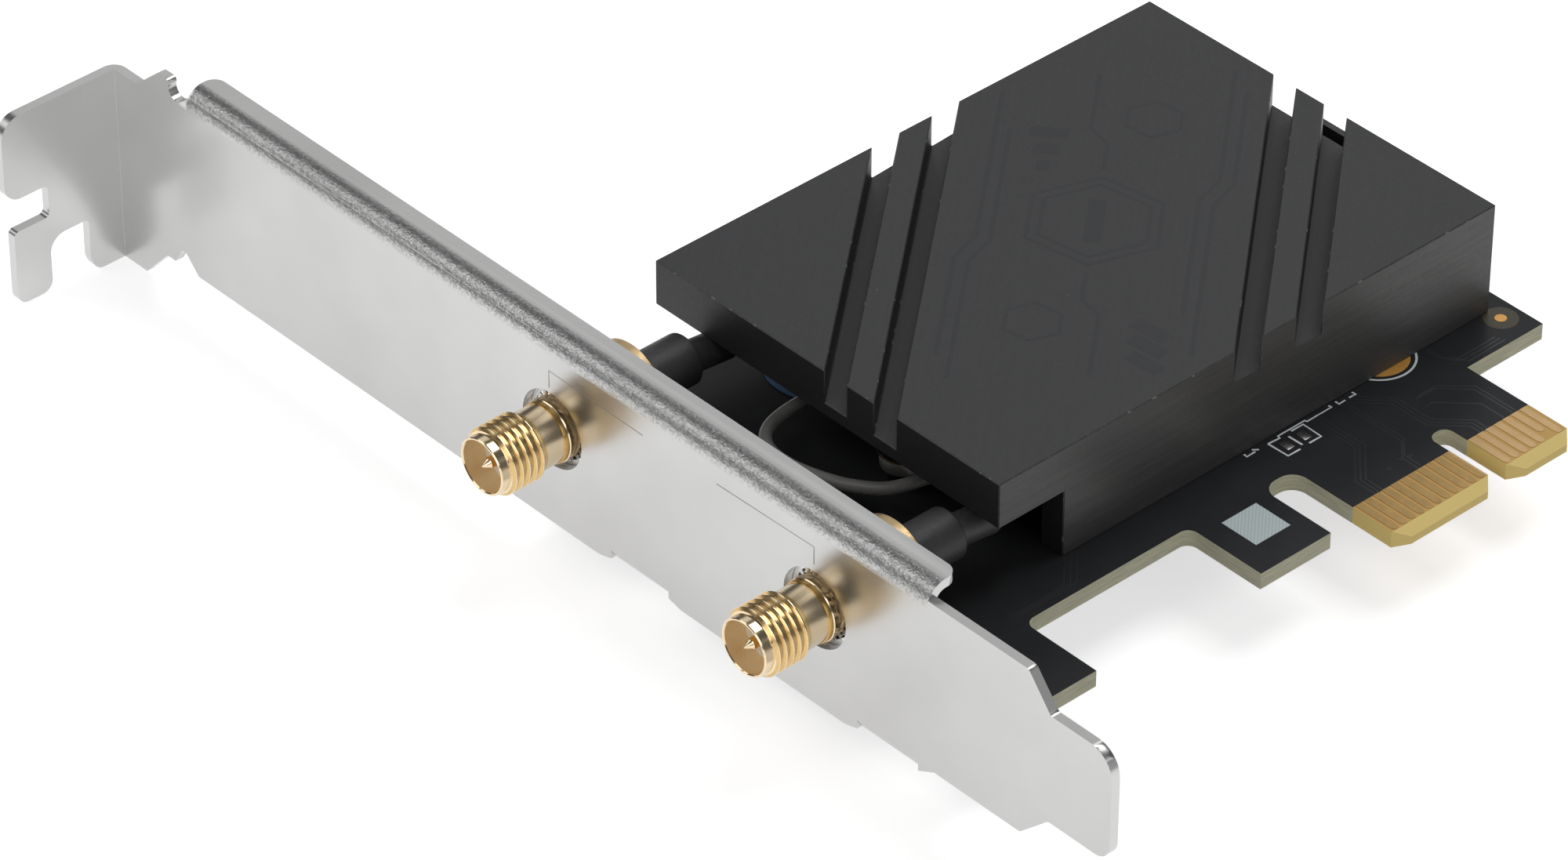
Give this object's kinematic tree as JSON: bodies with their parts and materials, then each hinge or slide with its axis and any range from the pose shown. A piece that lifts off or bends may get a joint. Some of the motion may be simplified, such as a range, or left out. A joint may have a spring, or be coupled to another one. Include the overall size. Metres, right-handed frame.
{
  "type": "pcie wifi card",
  "caption": "Wireless network card for a desktop computer: black board with a contact edge, full-height steel bracket with coax jacks, and a black heatsink over the module.",
  "frame": {"origin": "on the bracket's outer face, midway between the jacks, level with the top of the board", "axes": "+X along the bracket towards its tongue, +Y from the bracket into the computer, +Z out of the component side"},
  "size_m": [0.12, 0.0893, 0.0219],
  "materials": {
    "bracket_steel": "satin nickel plate on folded sheet steel",
    "circuit_board": "black solder resist on fibreglass, slightly glossy",
    "gold_plate": "gold plate, polished",
    "black_heatsink": "black anodised, fine matte grain",
    "screw_steel": "nickel plate",
    "module_board": "green solder resist",
    "tinned_steel": "tin plate",
    "thermal_pad": "soft matte silicone",
    "black_plastic": "moulded, matte",
    "jack_gold": "pale gold plate, polished",
    "white_plastic": "white insulator",
    "black_rubber": "shrink sleeve, matte",
    "grey_lead": "smooth jacket",
    "blue_sticker": "printed paper, plain",
    "brown_ceramic": "fired, matte"
  },
  "bodies": {
    "root": {"bracket": "bracket_steel", "board": "circuit_board", "front_contacts": "gold_plate", "back_contacts": "gold_plate", "heatsink": "black_heatsink", "bracket_screw_1": "screw_steel", "bracket_screw_2": "screw_steel", "heatsink_screw_1": "screw_steel", "heatsink_screw_2": "screw_steel", "heatsink_screw_3": "screw_steel", "module_board": "module_board", "module_shield": "tinned_steel", "thermal_pad": "thermal_pad", "standoff": "tinned_steel", "module_screw": "tinned_steel", "module_socket": "black_plastic", "socket_contacts": "gold_plate", "jack_1_barrel": "jack_gold", "jack_2_barrel": "jack_gold", "jack_1_insulator": "white_plastic", "jack_2_insulator": "white_plastic", "jack_1_pin": "gold_plate", "jack_2_pin": "gold_plate", "jack_1_boot": "black_rubber", "jack_2_boot": "black_rubber", "jack_1_lead_sleeve": "black_rubber", "jack_2_lead_sleeve": "black_rubber", "coax_lead_1": "grey_lead", "coax_lead_2": "grey_lead", "coax_plug_1": "gold_plate", "coax_plug_2": "gold_plate", "far_header": "black_plastic", "far_header_pins": "gold_plate", "sticker": "blue_sticker", "inductor": "black_plastic", "regulator": "black_plastic", "capacitors": "brown_ceramic"}
  },
  "joints": []
}
